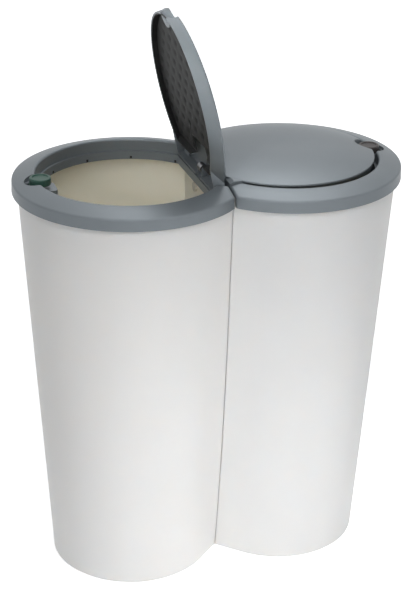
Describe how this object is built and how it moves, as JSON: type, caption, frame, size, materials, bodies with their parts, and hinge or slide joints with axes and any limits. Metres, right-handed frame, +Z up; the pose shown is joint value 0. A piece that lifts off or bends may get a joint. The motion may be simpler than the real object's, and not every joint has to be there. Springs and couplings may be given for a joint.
{
  "type": "double recycling bin",
  "caption": "Two D-shaped touch-top waste bins joined flat side to flat side, each with a lift-off collar, a sprung hinged lid and a push-button latch.",
  "frame": {"origin": "on the floor, midway between the two bins", "axes": "+X from the left bin to the right bin, +Y to the back, +Z up; the front is -Y"},
  "size_m": [0.5082, 0.2978, 0.7465],
  "materials": {
    "bucket_plastic": "warm white polypropylene, fine satin texture",
    "rim_plastic": "metallic grey, satin",
    "liner_plastic": "dark grey, pebbled",
    "button_green": "dark green, satin",
    "button_grey": "dark grey, satin",
    "steel": "plain bright steel",
    "spring_steel": "drawn spring wire",
    "fastener_plastic": "white nylon"
  },
  "bodies": {
    "base": {"left_bucket": "bucket_plastic", "right_bucket": "bucket_plastic", "joining_bolts": "fastener_plastic", "joining_nuts": "fastener_plastic"},
    "left_rim": {"left_rim": "rim_plastic", "left_hinge_pins": "steel", "left_spring_axle": "steel", "left_button_pin": "steel", "left_button_spring": "spring_steel"},
    "left_lid": {"left_lid": "rim_plastic", "left_lid_liner": "liner_plastic", "left_torsion_spring": "spring_steel"},
    "left_button": {"left_button": "button_green"},
    "right_rim": {"right_rim": "rim_plastic", "right_hinge_pins": "steel", "right_spring_axle": "steel", "right_button_pin": "steel", "right_button_spring": "spring_steel"},
    "right_lid": {"right_lid": "rim_plastic", "right_lid_liner": "liner_plastic", "right_torsion_spring": "spring_steel"},
    "right_button": {"right_button": "button_grey"}
  },
  "joints": [
    {"name": "left_rim_lift", "type": "slide", "parent": "base", "child": "left_rim", "axis": [0, 0, 1], "range_m": [0, 0.08]},
    {"name": "left_lid_hinge", "type": "hinge", "parent": "left_rim", "child": "left_lid", "pos_m": [-0.0116, 0, 0.5446], "axis": [0, 1, 0], "range_deg": [-78, 0], "stiffness_Nm_per_rad": 0.25, "springref_deg": 57.3},
    {"name": "left_button_rock", "type": "hinge", "parent": "left_rim", "child": "left_button", "pos_m": [-0.2312, 0, 0.5236], "axis": [0, -1, 0], "range_deg": [0, 8], "stiffness_Nm_per_rad": 0.1, "springref_deg": -11.46},
    {"name": "right_rim_lift", "type": "slide", "parent": "base", "child": "right_rim", "axis": [0, 0, 1], "range_m": [0, 0.08]},
    {"name": "right_lid_hinge", "type": "hinge", "parent": "right_rim", "child": "right_lid", "pos_m": [0.0116, 0, 0.5446], "axis": [0, -1, 0], "range_deg": [0, 78]},
    {"name": "right_button_rock", "type": "hinge", "parent": "right_rim", "child": "right_button", "pos_m": [0.2312, 0, 0.5236], "axis": [0, 1, 0], "range_deg": [0, 8], "stiffness_Nm_per_rad": 0.1, "springref_deg": -11.46}
  ]
}
